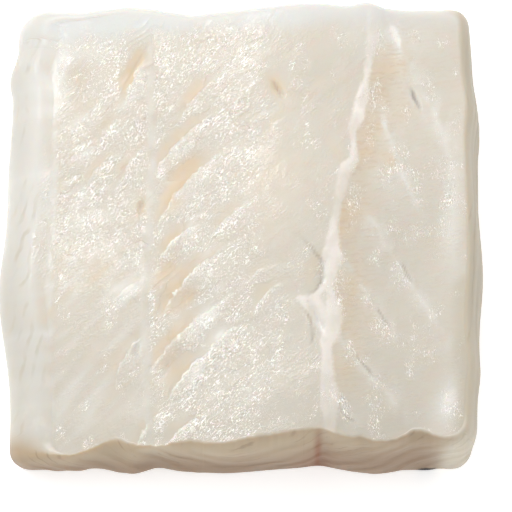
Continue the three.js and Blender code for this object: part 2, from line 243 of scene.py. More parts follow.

# Places that are paler, the palest with a painted sheen, and that have more or less sparkle in their relief
# and their painted glints: the same numbers, and the sparkle
PALE_PATCHES = [
    (-37.7, 34.5, 9, 1.8, 1.47, 0.85, -0.6),
    (-41.3, 17, 6.5, 1.1, 1.72, 1.5, 0.4),
    (-40, 4, 10, 2, 1.57, 0.5, 0.8),
    (-35, -34, 11, 1.3, 1.05, 0.6, -0.2),
    (-30, -36, 8, 1.4, 1.05, 0.6, -0.2),
    (-6.5, -19.3, 3, 1.9, 0.75, 1.6, 0.1),
    (-4.3, -23.5, 2.4, 1.4, 0.75, 1.4, 0.2),
    (-23.2, -12.7, 3.6, 1.8, 0.5, 1.1, 0.2),
    (-8.9, -30.7, 4, 1.4, 1.2, 1.1, 0.2),
    (17, -20.5, 4, 1.6, 1.5, 0.7, 0),
    (43.1, 1, 12, 2, 1.54, 0.9, 0.3),
    (31, 38.5, 11, 4, 0, 0.6, 0),
    (42.2, -38, 5.5, 2.8, 1.2, 1.5, 0.3),
    (-32.5, 38.5, 6, 2.5, 0, 0.7, 0),
    (30, 7, 6, 2.6, 2.1, 0.3, 0.4),
    (37, 24, 8, 2, 2.1, 0.2, 0.1),
    (-33.2, 23.8, 1.8, 1.1, 0.6, 0.9, 0),
    (-32.3, 16.7, 2.4, 1.3, 0.4, 1.1, 0),
    (-33.2, 8, 1.8, 1.4, 0.8, 1, 0),
    (-31.5, 2.6, 3.2, 1.3, 0.3, 0.9, 0),
    (-23.8, 26.8, 3, 1, 0.8, 0.8, 0),
    (-10.4, -0.6, 2.5, 0.9, 0.9, 0.7, 0),
    (-6.6, -6, 2.6, 0.9, 0.8, 0.6, 0),
    (-4.2, -13.9, 1.5, 1, 0.7, 0.8, 0),
    (-5.5, -35.7, 2.6, 1.3, 0.8, 0.7, 0),
    (2.2, -35.7, 3, 1.4, 1.2, 0.6, 0),
]

# Places by the seam and on the narrow muscle with more painted glints: the numbers of a warm patch
PAINTED_GLINT_PATCHES = [
    (24.6, 25.8, 3.4, 0.9, 1.35, 0.8),
    (26.4, 18, 3, 1.3, 1.5, 0.6),
    (22.6, 3.7, 4, 1.2, 1.5, 0.7),
    (29.8, 10.1, 3.2, 1.6, 1.4, 0.5),
    (36, 6.5, 3.8, 1.5, 1.9, 0.6),
    (41, -1, 8, 2, 1.3, 0.6),
    (44.2, 20.2, 3, 0.8, 1.5, 0.6),
    (31.3, -3.5, 3, 2, 1, 0.4),
    (20.9, -14, 2.8, 1.4, 1.5, 0.6),
    (39.2, 28.3, 2.5, 1, 1.5, 0.4),
    (36.5, -27, 7, 3, 1.9, 0.4),
]

# Columns of these rows
AMOUNT = 5
SPARKLE = 6

# Zones of the top: where each begins and where it is full, along X or Y
RAGGED_X = (-41, -37)
SMOOTHER_X = (-2, 9)
QUIET_X = (-17, -22)
QUIET_Y = (2, -14)
STREAKED_X = (-16, -22)
STREAKED_Y = (4, -10)
SEAM_WARMS_Y = (-46, -30)
SEAM_COOLS_Y = (32, 46)
CALM_RIMS_Y = (-47.5, -41)
FAR_RIM_Y = (38.5, 44)
NEAR_SHADE_Y = (25, -48)
NEAR_RIM_Y = (-37, -45)
THICK_END_X = (32, 40)
RIM_NARROWS_Y = (-14, -10.5)
RIGHT_RIM_X = {"near": (41.5, 45.5), "far": (45, 47)}

# Layers on the cut walls
LAYER_HEIGHT = 0.22
LAYER_FALL = 0.3
CUP_X = -1.0
CUP_ROUND = 8.0
CUP_SLOPE = 1.3
CUP_PITCH = 8.5
SIDE_PITCH = 6.0
SIDE_FALL = 0.12
LEFT_PITCH = 17.0
LEFT_SLANT = 3.3
WALL_SEAM_GROOVE = 0.8

# Numbers that only the points of the walls carry
WALL_NUMBERS = [
    "layer", "down", "scrap", "near_cut", "right_cut", "far_cut", "left_side", "streaks", "seam_patch",
]

# Two crossing swells of the whole block: how they run along X, Y and Z, their shift and their height
SWELLS = [(0.11, 0.07, 0.16, 0.6, 0.35), (-0.06, 0.16, -0.1, 2.1, 0.3)]

# Scrap of dark skin at the base of the near wall
SKIN_SCRAP_X = 38.4
SKIN_SCRAP_Z = 2.5
SKIN_SCRAP_RISE = 0.3


def smoothstep(low, high, v):
    """Soft step from 0 at low to 1 at high."""
    t = np.clip((v - low) / (high - low), 0, 1)
    return t * t * (3 - 2 * t)


def bell(v, reach):
    """Soft hump, 1 in its middle."""
    return np.exp(-((v / reach) ** 2))


def mix(a, b, t):
    return a + (b - a) * t


def noise(u, v, seed):
    """Smooth random numbers from about -1 to 1 that change over a distance of about 1."""
    random = np.random.default_rng(seed)
    turns = random.uniform(0, 2 * math.pi, (256, 256))
    i = np.floor(u).astype(int)
    j = np.floor(v).astype(int)
    f = u - i
    g = v - j
    wf = f**3 * (f * (6 * f - 15) + 10)
    wg = g**3 * (g * (6 * g - 15) + 10)

    def corner(di, dj):
        turn = turns[(i + di) % 256, (j + dj) % 256]
        return np.cos(turn) * (f - di) + np.sin(turn) * (g - dj)

    low = mix(corner(0, 0), corner(1, 0), wf)
    high = mix(corner(0, 1), corner(1, 1), wf)
    return 1.5 * mix(low, high, wg)


def rough(u, v, seed):
    """Noise with a finer and weaker one added to it."""
    return noise(u, v, seed) + noise(u * 2, v * 2, seed + 1) / 2


def tile(phase, fall):
    """One roof tile for each whole phase: a slow rise and a short fall."""
    f = phase - np.floor(phase)
    return np.where(f < 1 - fall, smoothstep(0, 1 - fall, f), 1 - smoothstep(1 - fall, 1, f))


def turned(x, y, centre_x, centre_y, turn):
    """Distances from a centre, along a line with this turn and to the right of it."""
    along = (x - centre_x) * math.cos(turn) + (y - centre_y) * math.sin(turn)
    right = (x - centre_x) * math.sin(turn) - (y - centre_y) * math.cos(turn)
    return along, right


def along_fibres(x, y):
    """Distances along and across the fibres of the broad muscle."""
    along = x * math.cos(FIBRE_TURN) + y * math.sin(FIBRE_TURN)
    across = -x * math.sin(FIBRE_TURN) + y * math.cos(FIBRE_TURN)
    return along, across


def side_reach(side, along):
    """Distance of one side's outline from the middle of the block."""
    half = (WIDTH if side in ("left", "right") else DEPTH) / 2 - WAVE_ROOM[side]
    return half + sum(out * bell(along - at, reach) for at, reach, out in OUTLINE_WAVES[side])


def near_shoulder_depth(x):
    """How far in from the near wall the wandering, ragged edge of the top lies."""
    depth = SHOULDER["near"] + sum(more * bell(x - at, reach) for at, reach, more in NEAR_EDGE_WAVES)
    for size, reach, seed in NEAR_EDGE_RAGS:
        depth = depth + reach * noise(x / size, 0 * x, seed)
    return depth


def plan_point(a, b, lean):
    """Place in the plan of the square parameters a and b, each wall moved in by a share of its shoulder."""
    near = mix(CORNER_PULL["near_left"], CORNER_PULL["near_right"], (a + 1) / 2)
    far = mix(CORNER_PULL["far_left"], CORNER_PULL["far_right"], (a + 1) / 2)
    pull = mix(near, far, (b + 1) / 2)
    u = (1 + a * (1 - pull * np.abs(b) ** (1 / pull))) / 2
    v = (1 + b * (1 - pull * np.abs(a) ** (1 / pull))) / 2
    along_y = (v - 0.5) * DEPTH
    left = SHOULDER["left"] - side_reach("left", along_y)
    right = side_reach("right", along_y) - SHOULDER["right"]
    out = (1 - lean) * (SHOULDER["right"] * u**LEAN_POWER - SHOULDER["left"] * (1 - u) ** LEAN_POWER)
    x = mix(left, right, u) + out
    near_shoulder = near_shoulder_depth(x)
    near = near_shoulder - side_reach("near", x)
    far = side_reach("far", x) - SHOULDER["far"]
    out = (1 - lean) * (SHOULDER["far"] * v**LEAN_POWER - near_shoulder * (1 - v) ** LEAN_POWER)
    return x, mix(near, far, v) + out


def crowded(count):
    """Square parameters from -1 to 1, closer together towards the edges."""
    t = np.linspace(-1, 1, count + 1)
    return t * (1 + EDGE_CROWDING * (1 - t * t))


def path_distance(x, y, path):
    """Distance from a path, and how far along it the nearest place is, from 0 to 1."""
    best = np.full_like(x, np.inf)
    share = np.zeros_like(x)
    steps = len(path) - 1
    for k in range(steps):
        ax, ay = path[k]
        dx = path[k + 1][0] - ax
        dy = path[k + 1][1] - ay
        t = np.clip(((x - ax) * dx + (y - ay) * dy) / (dx * dx + dy * dy), 0, 1)
        far = np.hypot(x - ax - t * dx, y - ay - t * dy)
        nearer = far < best
        best = np.where(nearer, far, best)
        share = np.where(nearer, (k + t) / steps, share)
    return best, share


def seam_x(y):
    """Place of the seam along X."""
    path = SEAM_PATH[::-1]
    return np.interp(y, [p[1] for p in path], [p[0] for p in path])


def crown_height(x, y):
    """Height of the smooth top, which rises from the thin side to the thick one."""
    slope = mix(LOW_SIDE_HEIGHT, HIGH_SIDE_HEIGHT, smoothstep(*THICKENS, x))
    return slope + CROWN_HEIGHT * bell(x - CROWN_X, CROWN_REACH) - END_DROP * (y / (DEPTH / 2)) ** 4


def flake_relief(x, y):
    """Height of the big flakes, the distance behind the nearest crisp edge, and that flake's weight."""
    total = np.zeros_like(x)
    edge = np.full_like(x, EDGE_RANGE[0])
    best = np.full_like(x, -FLAKE_RANGE)
    weight = np.zeros_like(x)
    wobble = 0.5 * noise(x / 2.6, y / 2.6, 11) + 0.25 * noise(x / 1.1, y / 1.1, 12)
    for centre_x, centre_y, half, turn, rise, back in FLAKES:
        along, behind = turned(x, y, centre_x, centre_y, turn)
        behind = behind + wobble - FLAKE_BOW * (along / half) ** 2
        lip = smoothstep(-0.8, 0.5, behind) * np.exp(-np.maximum(behind, 0) / back)
        trough = FLAKE_TROUGH * bell(behind + 1.6, 2.0)
        share = bell(along, half * 1.05)
        total += FLAKE_SHARE * rise * (lip - trough) * share
        score = 3 * share - np.abs(behind)
        nearer = score > best
        best = np.where(nearer, score, best)
        edge = np.where(nearer, behind, edge)
        weight = np.where(nearer, share * min(1.0, 1.3 * rise), weight)
    return total, np.clip(edge, *EDGE_RANGE), weight


def small_flakes(x, y):
    """Phase and strength of the little overlapping scales that follow the fibres of the broad muscle."""
    along, across = along_fibres(x, y)
    phase = -across / SCALE_PITCH + 1.5 * noise(along / 11, across / 5, 21)
    phase = phase + 0.4 * noise(along / 3, across / 2, 22)
    strength = smoothstep(-0.15, 0.45, noise(along / 9, across / 5, 23))
    return phase, strength


def muscle_sides(x, y):
    """How much a place belongs to the broad muscle left of the seam."""
    return 1 - smoothstep(-0.8, 0.8, x - seam_x(y))


def rough_zone(x, y):
    """Where the wet surface is ragged: the broad muscle, less so towards its right and its near left."""
    broad = smoothstep(*RAGGED_X, x) * (1 - 0.6 * smoothstep(*SMOOTHER_X, x))
    quiet_left = 1 - 0.7 * smoothstep(*QUIET_Y, y) * smoothstep(*QUIET_X, x)
    return broad * quiet_left * muscle_sides(x, y)


def dent_depth(x, y):
    """Depth of the dents, each with one side that may be crisp."""
    total = np.zeros_like(x)
    for centre_x, centre_y, long, short, turn, depth, crisp in DENTS:
        along, right = turned(x, y, centre_x, centre_y, turn)
        if turn < 0:
            right = -right
        cut = 1 - crisp * smoothstep(0.1, 0.75, right)
        total += depth * bell(along, long) * bell(right, short) * cut
    return total


def patches(x, y, rows, column):
    """Sum of soft oval patches, weighted by one column of their rows."""
    total = np.zeros_like(x)
    for row in rows:
        centre_x, centre_y, long, short, turn = row[:AMOUNT]
        along, across = turned(x, y, centre_x, centre_y, turn)
        total += row[column] * bell(along, long) * bell(across, short)
    return total


def seam_tissue(x, y):
    """How far a place is inside the ragged outline of the seam's tissue, film and web, in millimetres."""
    ragged = 0.35 * noise(x / 2.5, y / 3.5, 31) + 0.08 * noise(x / 0.9, y / 0.9, 32)
    distance, share = path_distance(x, y, SEAM_PATH)
    width = 1.0 + 0.4 * np.sin(share * 37) + 0.45 * smoothstep(0.55, 0.75, share)
    inside = width + bell(y - SEAM_KNOT_Y, 2.0) - distance
    for path in FILM_PATHS:
        inside = np.maximum(inside, FILM_HALF_WIDTH - path_distance(x, y, path)[0])
    web = bell(x - WEB_MIDDLE[0], 2.2) * bell(y - WEB_MIDDLE[1], 3.4)
    inside = np.maximum(inside, 1.6 * web - 0.7)
    return np.clip(inside + ragged, -3, 3)


def fold_depth(x, y):
    """How much a place lies in one of the folds beside the film and the sheets."""
    total = np.zeros_like(x)
    bend = 0.3 * noise(x / 2, y / 2, 46)
    for path in FOLD_PATHS:
        distance, share = path_distance(x + bend, y, path)
        fold = bell(distance, FOLD_HALF_WIDTH) * smoothstep(0, 0.3, share)
        total = np.maximum(total, fold * (1 - smoothstep(0.7, 1, share)))
    return total


def sheet_tissue(x, y):
    """Pale sheets of tissue: their soft bands, and the thin strand in each."""
    band = np.zeros_like(x)
    strand = np.zeros_like(x)
    bend = 0.6 * noise(x / 5, y / 5, 41) + 0.3 * noise(x / 1.8, y / 1.8, 44)
    for k, path in enumerate(SHEET_PATHS):
        distance, share = path_distance(x + bend, y, path)
        ends = smoothstep(0, 0.06, share) * (1 - smoothstep(0.75, 1, share))
        width = SHEET_HALF_WIDTH + 0.4 * math.sin(3 * k + 1) + 0.6 * noise(x / 4, y / 4, 43)
        band = np.maximum(band, bell(distance, width) * mix(0.2, 1, ends))
        shown = mix(0.35, 1, smoothstep(-0.4, 0.3, noise(share * 7, share + k, 45)))
        strand = np.maximum(strand, bell(distance, STRAND_HALF_WIDTH) * ends * shown)
    return band, strand


def membrane_lines(x, y):
    """Grooves along the membranes, and how much a place belongs to one."""
    groove = np.zeros_like(x)
    inside = np.zeros_like(x)
    for at, sway, depth, half_width in MEMBRANE_LINES:
        away = x - at - sway * np.sin(y / 11) - 0.5 * noise(y / 5, x * 0 + at, 77)
        groove += depth * bell(away, half_width)
        width = half_width + 0.5 * noise(y / 4, x * 0 + at, 78)
        inside += 1 - smoothstep(width - 0.5, width + 0.5, np.abs(away))
    return groove, inside


def swell_height(x, y, z):
    """Gentle swells that run through the whole block."""
    return sum(h * np.sin(ax * x + ay * y + az * z + shift) for ax, ay, az, shift, h in SWELLS)


def top_forms(x, y):
    """What a place on the top belongs to, and how much: muscle, tissue, flakes, folds, dents and rims."""
    top = SimpleNamespace()
    top.from_seam = x - seam_x(y)
    top.left = muscle_sides(x, y)
    top.zone = rough_zone(x, y)
    top.tissue = seam_tissue(x, y)
    top.band, top.strand = sheet_tissue(x, y)
    top.membrane_groove, top.membrane = membrane_lines(x, y)
    top.flakes, top.edge, flake = flake_relief(x, y)
    top.flake = flake * top.left * (1 - top.membrane)
    behind = smoothstep(-0.1, 0.3, top.edge)
    top.body = top.flake * behind * np.exp(-np.maximum(top.edge, 0) / 3.2)
    top.hollow = top.flake * (1 - behind) * bell(np.minimum(top.edge + 0.8, 0), 1.7)
    top.phase, top.small = small_flakes(x, y)
    along, across = along_fibres(x, y)
    streaks = noise(along / 9, across / 1.6, 85) * top.left
    top.streaks = streaks * smoothstep(*STREAKED_X, x) * smoothstep(*STREAKED_Y, y)
    top.dents = dent_depth(x, y)
    top.folds = fold_depth(x, y)
    top.far_rim = smoothstep(*FAR_RIM_Y, y + 0.8 * noise(x / 6, y / 9, 73))
    top.cloudy = smoothstep(-0.6, 0.5, rough(x / 3, y / 5, 76))
    top.quiet = (1 - 0.8 * top.membrane) * (1 - 0.9 * top.far_rim)
    return top


def top_height(x, y, top):
    """Height of the top, with its relief, which calms down towards the near and far edges."""
    drop = SEAM_DROP * smoothstep(-1, 3 * SEAM_HALF_WIDTH, top.from_seam)
    groove = SEAM_GROOVE * bell(top.from_seam - 0.6, SEAM_HALF_WIDTH)
    calm = mix(0.3, 1, smoothstep(*CALM_RIMS_Y, -np.abs(y)))
    scales = SCALE_HEIGHT * top.zone * top.small * tile(top.phase, 0.2)
    lumps = LUMP_HEIGHT * rough(x / LUMP_SIZE, y / LUMP_SIZE, 53)
    tissue = smoothstep(-1, 1, top.tissue)
    relief = calm * (top.left * top.flakes + scales - top.dents) + lumps
    relief += TISSUE_HEIGHT * tissue - FOLD_DEPTH * top.folds - drop - groove - top.membrane_groove
    relief += (1 - top.left) * (SHEET_HEIGHT * top.band + STRAND_HEIGHT * top.strand)
    return crown_height(x, y) + relief + swell_height(x, y, 0)


def top_warmth(x, y, top):
    """How warm the flesh looks: in the hollows, beside the seam, in patches and between the streaks."""
    spread = top.from_seam + 2.2 * noise(x / 4, y / 5, 71)
    beside_seam = smoothstep(0.2, 1.4, top.from_seam) * (1 - smoothstep(4.0, 12.0, spread))
    beside_seam = beside_seam * (1 - 0.8 * top.strand)
    along_seam = smoothstep(*SEAM_WARMS_Y, y) * (1 - smoothstep(*SEAM_COOLS_Y, y))
    uneven = 0.5 + 0.35 * noise(x / 6, y / 9, 83)
    warm = 0.7 * top.hollow + uneven * beside_seam * along_seam + patches(x, y, WARM_PATCHES, AMOUNT)
    return warm + 0.35 * np.maximum(-top.streaks, 0)


def top_paleness(x, y, top):
    """How pale the flesh looks: on the flakes, the tissue and the streaks, and in patches. The palest
    patches stand for wet gloss, which the material paints as a highlight.
    """
    narrow = 0.62 * top.band * top.cloudy + 0.38 * top.strand
    pale = 0.5 * top.body + (1 - top.left) * narrow + 0.5 * top.membrane * top.cloudy
    pale += patches(x, y, PALE_PATCHES, AMOUNT) + 0.8 * np.maximum(top.streaks, 0)
    return pale


def top_glint(x, y, top, warm):
    """How rough the wet surface is, so that it glints."""
    patchy = smoothstep(-0.5, 0.5, rough(x / 7, y / 7, 74))
    glint = top.zone * (0.3 + 0.3 * patchy) + 0.6 * top.body - 0.35 * top.hollow
    glint = glint + (1 - top.left) * (0.1 + 0.3 * patchy)
    glint = glint + 0.45 * top.left * (1 - top.zone) * patchy - 0.5 * warm * top.left
    return (glint + patches(x, y, PALE_PATCHES, SPARKLE)) * top.quiet


def top_painted_glints(x, y, top, warm):
    """How many painted glints, thin bright curls and fibres of painted highlight, lie on the surface."""
    clusters = smoothstep(0.0, 0.6, rough(x / 5, y / 7, 79))
    sparse = smoothstep(0.3, 0.9, top.zone)
    narrow = 0.05 + 0.6 * clusters + 0.3 * top.band * top.cloudy
    painted_glints = top.left * mix(0.2 + 0.6 * clusters, 1, sparse) + (1 - top.left) * narrow
    painted_glints += 0.5 * top.flake * bell(top.edge - 1.0, 1.3) - 1.1 * top.hollow - 1.2 * warm * top.left
    beside_seam = 0.8 * (1 - top.left) * bell(top.from_seam - 1.8, 1.6) * clusters
    painted_glints += beside_seam + patches(x, y, PAINTED_GLINT_PATCHES, AMOUNT)
    off_tissue = 1 - 0.5 * smoothstep(-0.2, 0.3, top.tissue)
    return painted_glints * top.quiet * off_tissue + 0.5 * patches(x, y, PALE_PATCHES, SPARKLE)


def top_numbers(x, y, top):
    """Numbers that the points of the top carry for the material."""
    warm = top_warmth(x, y, top)
    bare = 1 - smoothstep(-0.5, 0.1, top.tissue)
    near_tissue = 0.3 * bell(top.tissue + 0.5, 0.8) * smoothstep(-0.5, 0.5, noise(x / 3, y / 3, 75))
    # Painted shade: the flesh darkens towards the near end, more along the near rim and less at the thick
    # end
    near = smoothstep(*NEAR_SHADE_Y, y) + 0.6 * smoothstep(*NEAR_RIM_Y, y)
    narrow = smoothstep(*RIM_NARROWS_Y, y)
    rim_begins, rim_full = (mix(*places, narrow) for places in zip(RIGHT_RIM_X["near"], RIGHT_RIM_X["far"]))
    return {
        "tissue": top.tissue,
        "painted_glints": np.clip(top_painted_glints(x, y, top, warm), 0, 1.2),
        # Painted shade in the folds
        "crease_shade": top.folds,
        "far_rim": top.far_rim,
        "right_rim": smoothstep(rim_begins, rim_full, x + 0.5 * noise(x / 9, y / 5, 80)),
        "near": near * (1 - 0.6 * smoothstep(*THICK_END_X, x)),
        "pale": np.clip(top_paleness(x, y, top), 0, 1.6),
        "warm": np.clip(warm, 0, 1),
        "glint": np.clip(top_glint(x, y, top, warm) * mix(0.15, 1, bare) + near_tissue, 0, 1.3),
        "bare": bare,
        "veil": np.interp(y, *zip(*SEAM_VEIL)),
        "body": np.clip(top.body, 0, 1),
        "edge": top.edge,
        "flake": np.clip(top.flake, 0, 1),
        "scales": top.phase,
        "small": top.small * top.zone,
        "right": 1 - top.left,
        "dent": top.dents,
    }


def wall_layers(x, y, z, out_x, out_y):
    """Relief of the cut walls, along the way that the wall faces, and the phase of its layers."""
    wobble = 0.25 * noise(x / 9, z / 9, 61) + 0.06 * noise(x / 3, z / 2, 63)
    cup_phase = (z - CUP_SLOPE * np.hypot(x - CUP_X, CUP_ROUND)) / CUP_PITCH + wobble
    side_phase = (z + SIDE_FALL * y) / SIDE_PITCH + 0.3 * noise(y / 12, z / 6, 62)
    left_phase = (y - LEFT_SLANT * x) / LEFT_PITCH + 0.4 * noise(y / 9, z / 9, 64)
    seam_groove = WALL_SEAM_GROOVE * bell(x - seam_x(y) + 1.2, SEAM_HALF_WIDTH)
    ends = out_y**2 * (LAYER_HEIGHT * tile(cup_phase, LAYER_FALL) - seam_groove)
    sides = np.where(out_x > 0, out_x**2 * LAYER_HEIGHT * tile(side_phase, LAYER_FALL), 0)
    phase = mix(np.where(out_x > 0, side_phase, left_phase), cup_phase, smoothstep(0.15, 0.5, out_y**2))
    return ends + sides, phase


def wall_profile():
    """Lean and lift of each row of the wall, evenly spaced down the shoulder's curve."""
    angle = np.linspace(0, math.pi / 2, 2000)
    lean = 1 - np.sin(angle) ** LEAN_CURVE
    lift = np.cos(angle) ** LIFT_CURVE
    lift[-1] = 0
    steps = np.hypot(USUAL_LEAN * np.diff(lean), USUAL_LIFT * np.diff(lift))
    run = np.concatenate([[0], np.cumsum(steps)])
    at = np.linspace(0, run[-1], WALL_ROWS + 1)[1:]
    return np.interp(at, run, lean), np.interp(at, run, lift)


def wall_facing(a, b):
    """Direction in the plan that the wall faces, which turns quickly at the corners."""
    out_x = a**CORNER_POWER
    out_y = b**CORNER_POWER
    length = np.hypot(out_x, out_y)
    return out_x / length, out_y / length


def wall_point(a, b, edge_z, lean, lift, tuck, z_share):
    """Places of one row of the walls below an edge, and the numbers that its points carry."""
    x, y = plan_point(a, b, lean)
    shrink = 1 - 2 * tuck / WIDTH
    x = x * shrink
    y = y * shrink
    z = z_share * mix(WIDEST_HEIGHT, edge_z, lift)
    out_x, out_y = wall_facing(a, b)
    layers, phase = wall_layers(x, y, z, out_x, out_y)
    strength = (1 - lean) * smoothstep(0.5, 5, z)
    ragged = 1 + 0.2 * noise(x / 0.7, z / 1.5, 84)
    scrap = bell(x - SKIN_SCRAP_X, 2.1 * ragged) * bell(z - SKIN_SCRAP_Z, 3.4 * ragged)
    scrap = np.where(y < 0, scrap, 0)
    push = strength * (layers + swell_height(x, y, z)) + SKIN_SCRAP_RISE * scrap
    place = np.stack([x + out_x * push, y + out_y * push, z], -1)
    shown = 1 - lean
    off_seam = x - seam_x(y) + 2.2
    seam_patch = np.maximum(bell(off_seam, 0.9), 0.5 * (1 - lift) * bell(off_seam, 4.0)) * (out_y < -0.5)
    facing = {"near_cut": -out_y, "right_cut": out_x, "far_cut": out_y, "left_side": -out_x}
    numbers = {name: shown * np.maximum(out, 0) ** 2 for name, out in facing.items()}
    numbers["layer"] = phase
    # Painted shade: the cut walls darken further down, and towards the thick end of the near wall
    numbers["down"] = 1 - lift + 0.3 * smoothstep(12, 32, x)
    numbers["scrap"] = scrap
    numbers["streaks"] = np.where(out_x < 0, smoothstep(0.5, 0.9, out_x**2), 0)
    numbers["seam_patch"] = shown * seam_patch
    return place, numbers


def ring_parameters():
    """Square parameters of the points round the block, counter-clockwise from the near left corner."""
    across = crowded(CELLS_X)[:-1]
    up = crowded(CELLS_Y)[:-1]
    a = np.concatenate([across, np.ones(CELLS_Y), -across, -np.ones(CELLS_Y)])
    b = np.concatenate([-np.ones(CELLS_X), up, np.ones(CELLS_X), -up])
    return a, b


def ring_on_top():
    """Index in the top's grid of each point round its edge."""
    row = CELLS_X + 1
    near = np.arange(CELLS_X)
    right = CELLS_X + row * np.arange(CELLS_Y)
    far = row * CELLS_Y + CELLS_X - np.arange(CELLS_X)
    left = row * (CELLS_Y - np.arange(CELLS_Y))
    return np.concatenate([near, right, far, left])


def wall_rows():
    """Lean, lift, tuck and share of the height of each row of the walls, from the top edge to the base."""
    lean, lift = wall_profile()
    rows = [(lean[k], lift[k], 0.0, 1.0) for k in range(WALL_ROWS)]
    for k in range(1, TUCK_ROWS + 1):
        angle = math.pi / 2 * k / TUCK_ROWS
        rows.append((0.0, 0.0, BASE_TUCK * (1 - math.cos(angle)), 1 - math.sin(angle)))
    return rows


def fillet_mesh():
    """Points, faces and per-point numbers of the whole block, with the ring of points round its base."""
    a, b = np.meshgrid(crowded(CELLS_X), crowded(CELLS_Y))
    x, y = plan_point(a, b, 1)
    top = top_forms(x, y)
    points = [np.stack([x, y, top_height(x, y, top)], -1).reshape(-1, 3)]
    count = x.size
    numbers = {name: [value.ravel()] for name, value in top_numbers(x, y, top).items()}
    for name in WALL_NUMBERS:
        numbers[name] = [np.zeros(count)]

    row = CELLS_X + 1
    first = (np.arange(CELLS_Y)[:, None] * row + np.arange(CELLS_X)).ravel()
    faces = [np.stack([first, first + 1, first + row + 1, first + row], -1)]

    ring_a, ring_b = ring_parameters()
    edge_x, edge_y = plan_point(ring_a, ring_b, 1)
    edge_z = top_height(edge_x, edge_y, top_forms(edge_x, edge_y))
    upper = ring_on_top()
    edge_numbers = {name: value[0][upper] for name, value in numbers.items()}
    for lean, lift, tuck, z_share in wall_rows():
        place, wall_numbers = wall_point(ring_a, ring_b, edge_z, lean, lift, tuck, z_share)
        lower = count + np.arange(len(ring_a))
        following = np.roll(np.arange(len(ring_a)), -1)
        faces.append(np.stack([upper, lower, lower[following], upper[following]], -1))
        points.append(place)
        for name in numbers:
            numbers[name].append(wall_numbers.get(name, edge_numbers[name]))
        count += len(ring_a)
        upper = lower
    numbers = {name: np.concatenate(parts) for name, parts in numbers.items()}
    return np.concatenate(points), np.concatenate(faces), upper, numbers


def linked(name, data):
    """New object in the scene."""
    made = bpy.data.objects.new(name, data)
    bpy.context.scene.collection.objects.link(made)
    return made


def add_numbers(mesh, name, kind, field, values):
    """Give every point of the mesh its own number or vector."""
    layer = mesh.attributes.new(name, kind, "POINT")
    layer.data.foreach_set(field, values.astype(np.float32).ravel())


def make_fillet(name):
    """The block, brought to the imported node's box, with a fan of triangles that closes its base."""
    points, quads, base_ring, numbers = fillet_mesh()
    low, high = (np.array(corner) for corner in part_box("fillet"))
    own_low = points.min(0)
    own_high = points.max(0)
    places = low + (points - own_low) / (own_high - own_low) * (high - low)
    middle = len(places)
    places = np.vstack([places, [(low[0] + high[0]) / 2, (low[1] + high[1]) / 2, low[2]]])
    fan = [(int(p), middle, int(q)) for p, q in zip(base_ring, np.roll(base_ring, -1))]
    mesh = bpy.data.meshes.new(name)
    mesh.from_pydata(places.tolist(), [], quads.tolist() + fan)
    mesh.polygons.foreach_set("use_smooth", [True] * len(mesh.polygons))
    for key, values in numbers.items():
        add_numbers(mesh, key, "FLOAT", "value", np.append(values, 0))
    fibre = fibre_coordinates(np.vstack([points, points[:1]]))
    add_numbers(mesh, "fibre", "FLOAT_VECTOR", "vector", fibre)
    mesh.update()
    return linked(name, mesh)


def fibre_coordinates(points):
    """Millimetres across the fibres and along them, with the height as the third number."""
    x, y, z = points.T
    turn = np.where(muscle_sides(x, y) > 0.5, FIBRE_TURN, NARROW_FIBRE_TURN)
    along = x * np.cos(turn) + y * np.sin(turn)
    across = -x * np.sin(turn) + y * np.cos(turn)
    return np.stack([across, along, z], -1)


